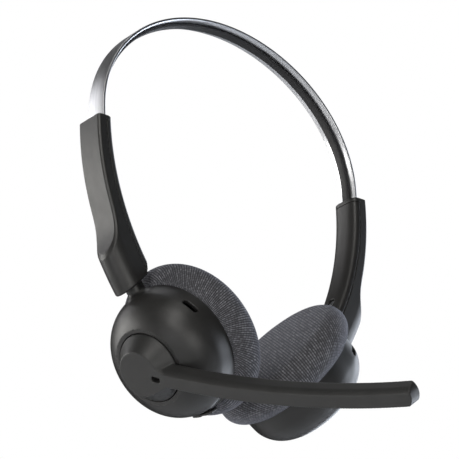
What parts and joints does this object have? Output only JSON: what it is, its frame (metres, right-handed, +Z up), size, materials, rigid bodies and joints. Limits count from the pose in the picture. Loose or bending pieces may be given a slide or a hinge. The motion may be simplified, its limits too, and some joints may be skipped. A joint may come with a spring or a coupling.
{
  "type": "office headset",
  "caption": "On-ear wireless headset: sprung steel headband, sliding arms, swivelling domed cups with knit pads, and a swinging boom microphone.",
  "frame": {"origin": "middle of the headband liner's underside, where the headset rests on the head", "axes": "+Z up from the head, -Y the wearer's front, -X the wearer's right, where the boom is"},
  "size_m": [0.1496, 0.153, 0.2159],
  "materials": {
    "charcoal_plastic": "smooth satin moulded plastic",
    "boom_plastic": "smooth satin moulded plastic",
    "liner_rubber": "soft matt",
    "knit_fabric": "heather knit, fine ribs",
    "spring_steel": "brushed along the band",
    "screw_steel": "bright turned steel",
    "dark_metal": "dark plated",
    "nylon": "plain black",
    "board": "coated circuit board",
    "battery_foil": "crinkled foil",
    "light_lens": "clear diffusing lens"
  },
  "bodies": {
    "headband": {"headband_spring": "spring_steel", "headband_liner": "liner_rubber", "headband_flat_cable": "nylon", "right_band_stop": "nylon", "left_band_stop": "nylon"},
    "right_arm": {"right_arm_housing": "charcoal_plastic", "right_arm_inner_cover": "charcoal_plastic", "right_arm_screw": "screw_steel", "right_slide_spring": "spring_steel", "right_swivel_bush": "nylon"},
    "left_arm": {"left_arm_housing": "charcoal_plastic", "left_arm_inner_cover": "charcoal_plastic", "left_arm_screw": "screw_steel", "left_slide_spring": "spring_steel", "left_swivel_bush": "nylon"},
    "right_cup": {"right_cup_shell": "charcoal_plastic", "right_swivel_pin": "dark_metal", "right_swivel_clip": "dark_metal", "right_baffle": "nylon", "right_upper_baffle_screw": "dark_metal", "right_lower_baffle_screw": "dark_metal", "right_speaker_frame": "nylon", "right_speaker_cone": "battery_foil", "right_speaker_magnet": "dark_metal", "right_cushion_ring": "nylon", "right_ear_cushion": "knit_fabric", "right_vent_mesh": "nylon", "boom_wave_washer": "spring_steel", "main_board": "board", "charging_board": "board", "charging_socket": "screw_steel", "status_light": "light_lens"},
    "left_cup": {"left_cup_shell": "charcoal_plastic", "left_swivel_pin": "dark_metal", "left_swivel_clip": "dark_metal", "left_baffle": "nylon", "left_upper_baffle_screw": "dark_metal", "left_lower_baffle_screw": "dark_metal", "left_speaker_frame": "nylon", "left_speaker_cone": "battery_foil", "left_speaker_magnet": "dark_metal", "left_cushion_ring": "nylon", "left_ear_cushion": "knit_fabric", "left_vent_mesh": "nylon", "battery": "battery_foil"},
    "boom": {"boom_arm": "boom_plastic", "boom_back_cover": "boom_plastic", "boom_microphone": "dark_metal", "hub_microphone": "dark_metal", "boom_retainer": "dark_metal"},
    "volume_rocker": {"volume_rocker": "charcoal_plastic"},
    "power_button": {"power_button": "charcoal_plastic"}
  },
  "joints": [
    {"name": "right_arm_slide", "type": "slide", "parent": "headband", "child": "right_arm", "axis": [0, 0, -1], "range_m": [0, 0.02]},
    {"name": "left_arm_slide", "type": "slide", "parent": "headband", "child": "left_arm", "axis": [0, 0, -1], "range_m": [0, 0.02]},
    {"name": "right_cup_swivel", "type": "hinge", "parent": "right_arm", "child": "right_cup", "pos_m": [-0.03522, 0, -0.1573], "axis": [-0.6027, 0, 0.798], "range_deg": [-15, 15]},
    {"name": "left_cup_swivel", "type": "hinge", "parent": "left_arm", "child": "left_cup", "pos_m": [0.03522, 0, -0.1573], "axis": [0.6027, 0, 0.798], "range_deg": [-15, 15]},
    {"name": "boom_pivot", "type": "hinge", "parent": "right_cup", "child": "boom", "pos_m": [-0.03035, 0, -0.15362], "axis": [-0.798, 0, -0.6027], "range_deg": [-14, 256]},
    {"name": "volume_rock", "type": "hinge", "parent": "right_cup", "child": "volume_rocker", "pos_m": [-0.01714, 0.00306, -0.17726], "axis": [-0.798, 0, -0.6027], "range_deg": [-2.5, 2.5], "stiffness_Nm_per_rad": 0.25},
    {"name": "power_press", "type": "slide", "parent": "right_cup", "child": "power_button", "axis": [-0.3457, -0.8192, 0.4577], "range_m": [0, 0.0006], "stiffness_N_per_m": 1500}
  ]
}
